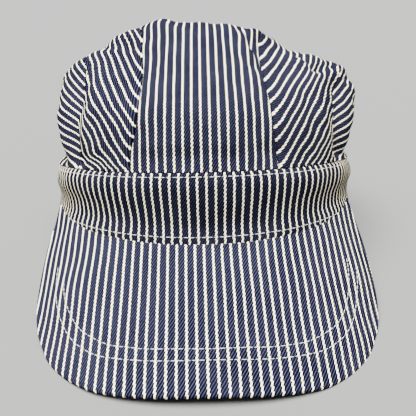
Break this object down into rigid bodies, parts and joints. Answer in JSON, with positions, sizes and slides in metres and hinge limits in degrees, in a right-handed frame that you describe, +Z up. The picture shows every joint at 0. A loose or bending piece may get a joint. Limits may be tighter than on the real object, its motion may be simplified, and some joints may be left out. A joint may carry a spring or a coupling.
{
  "type": "railroad engineer cap",
  "caption": "Railroad engineer cap in hickory-striped cotton: soft panelled crown, tall headband and a bent, stitched cloth visor.",
  "frame": {"origin": "middle of the cap's footprint, on the surface that it rests on", "axes": "+Z up, +X to the right of someone looking at the front, the visor points towards -Y"},
  "size_m": [0.1728, 0.2612, 0.1268],
  "materials": {
    "stripe_cloth": "matte cotton twill, navy with cream stripes",
    "visor_cloth": "matte cotton twill over a stiff board, navy with cream stripes"
  },
  "bodies": {
    "root": {"crown_center_panel": "stripe_cloth", "crown_front_left": "stripe_cloth", "crown_front_right": "stripe_cloth", "crown_rear_left": "stripe_cloth", "crown_rear_right": "stripe_cloth", "headband": "stripe_cloth", "visor": "visor_cloth"}
  },
  "joints": []
}
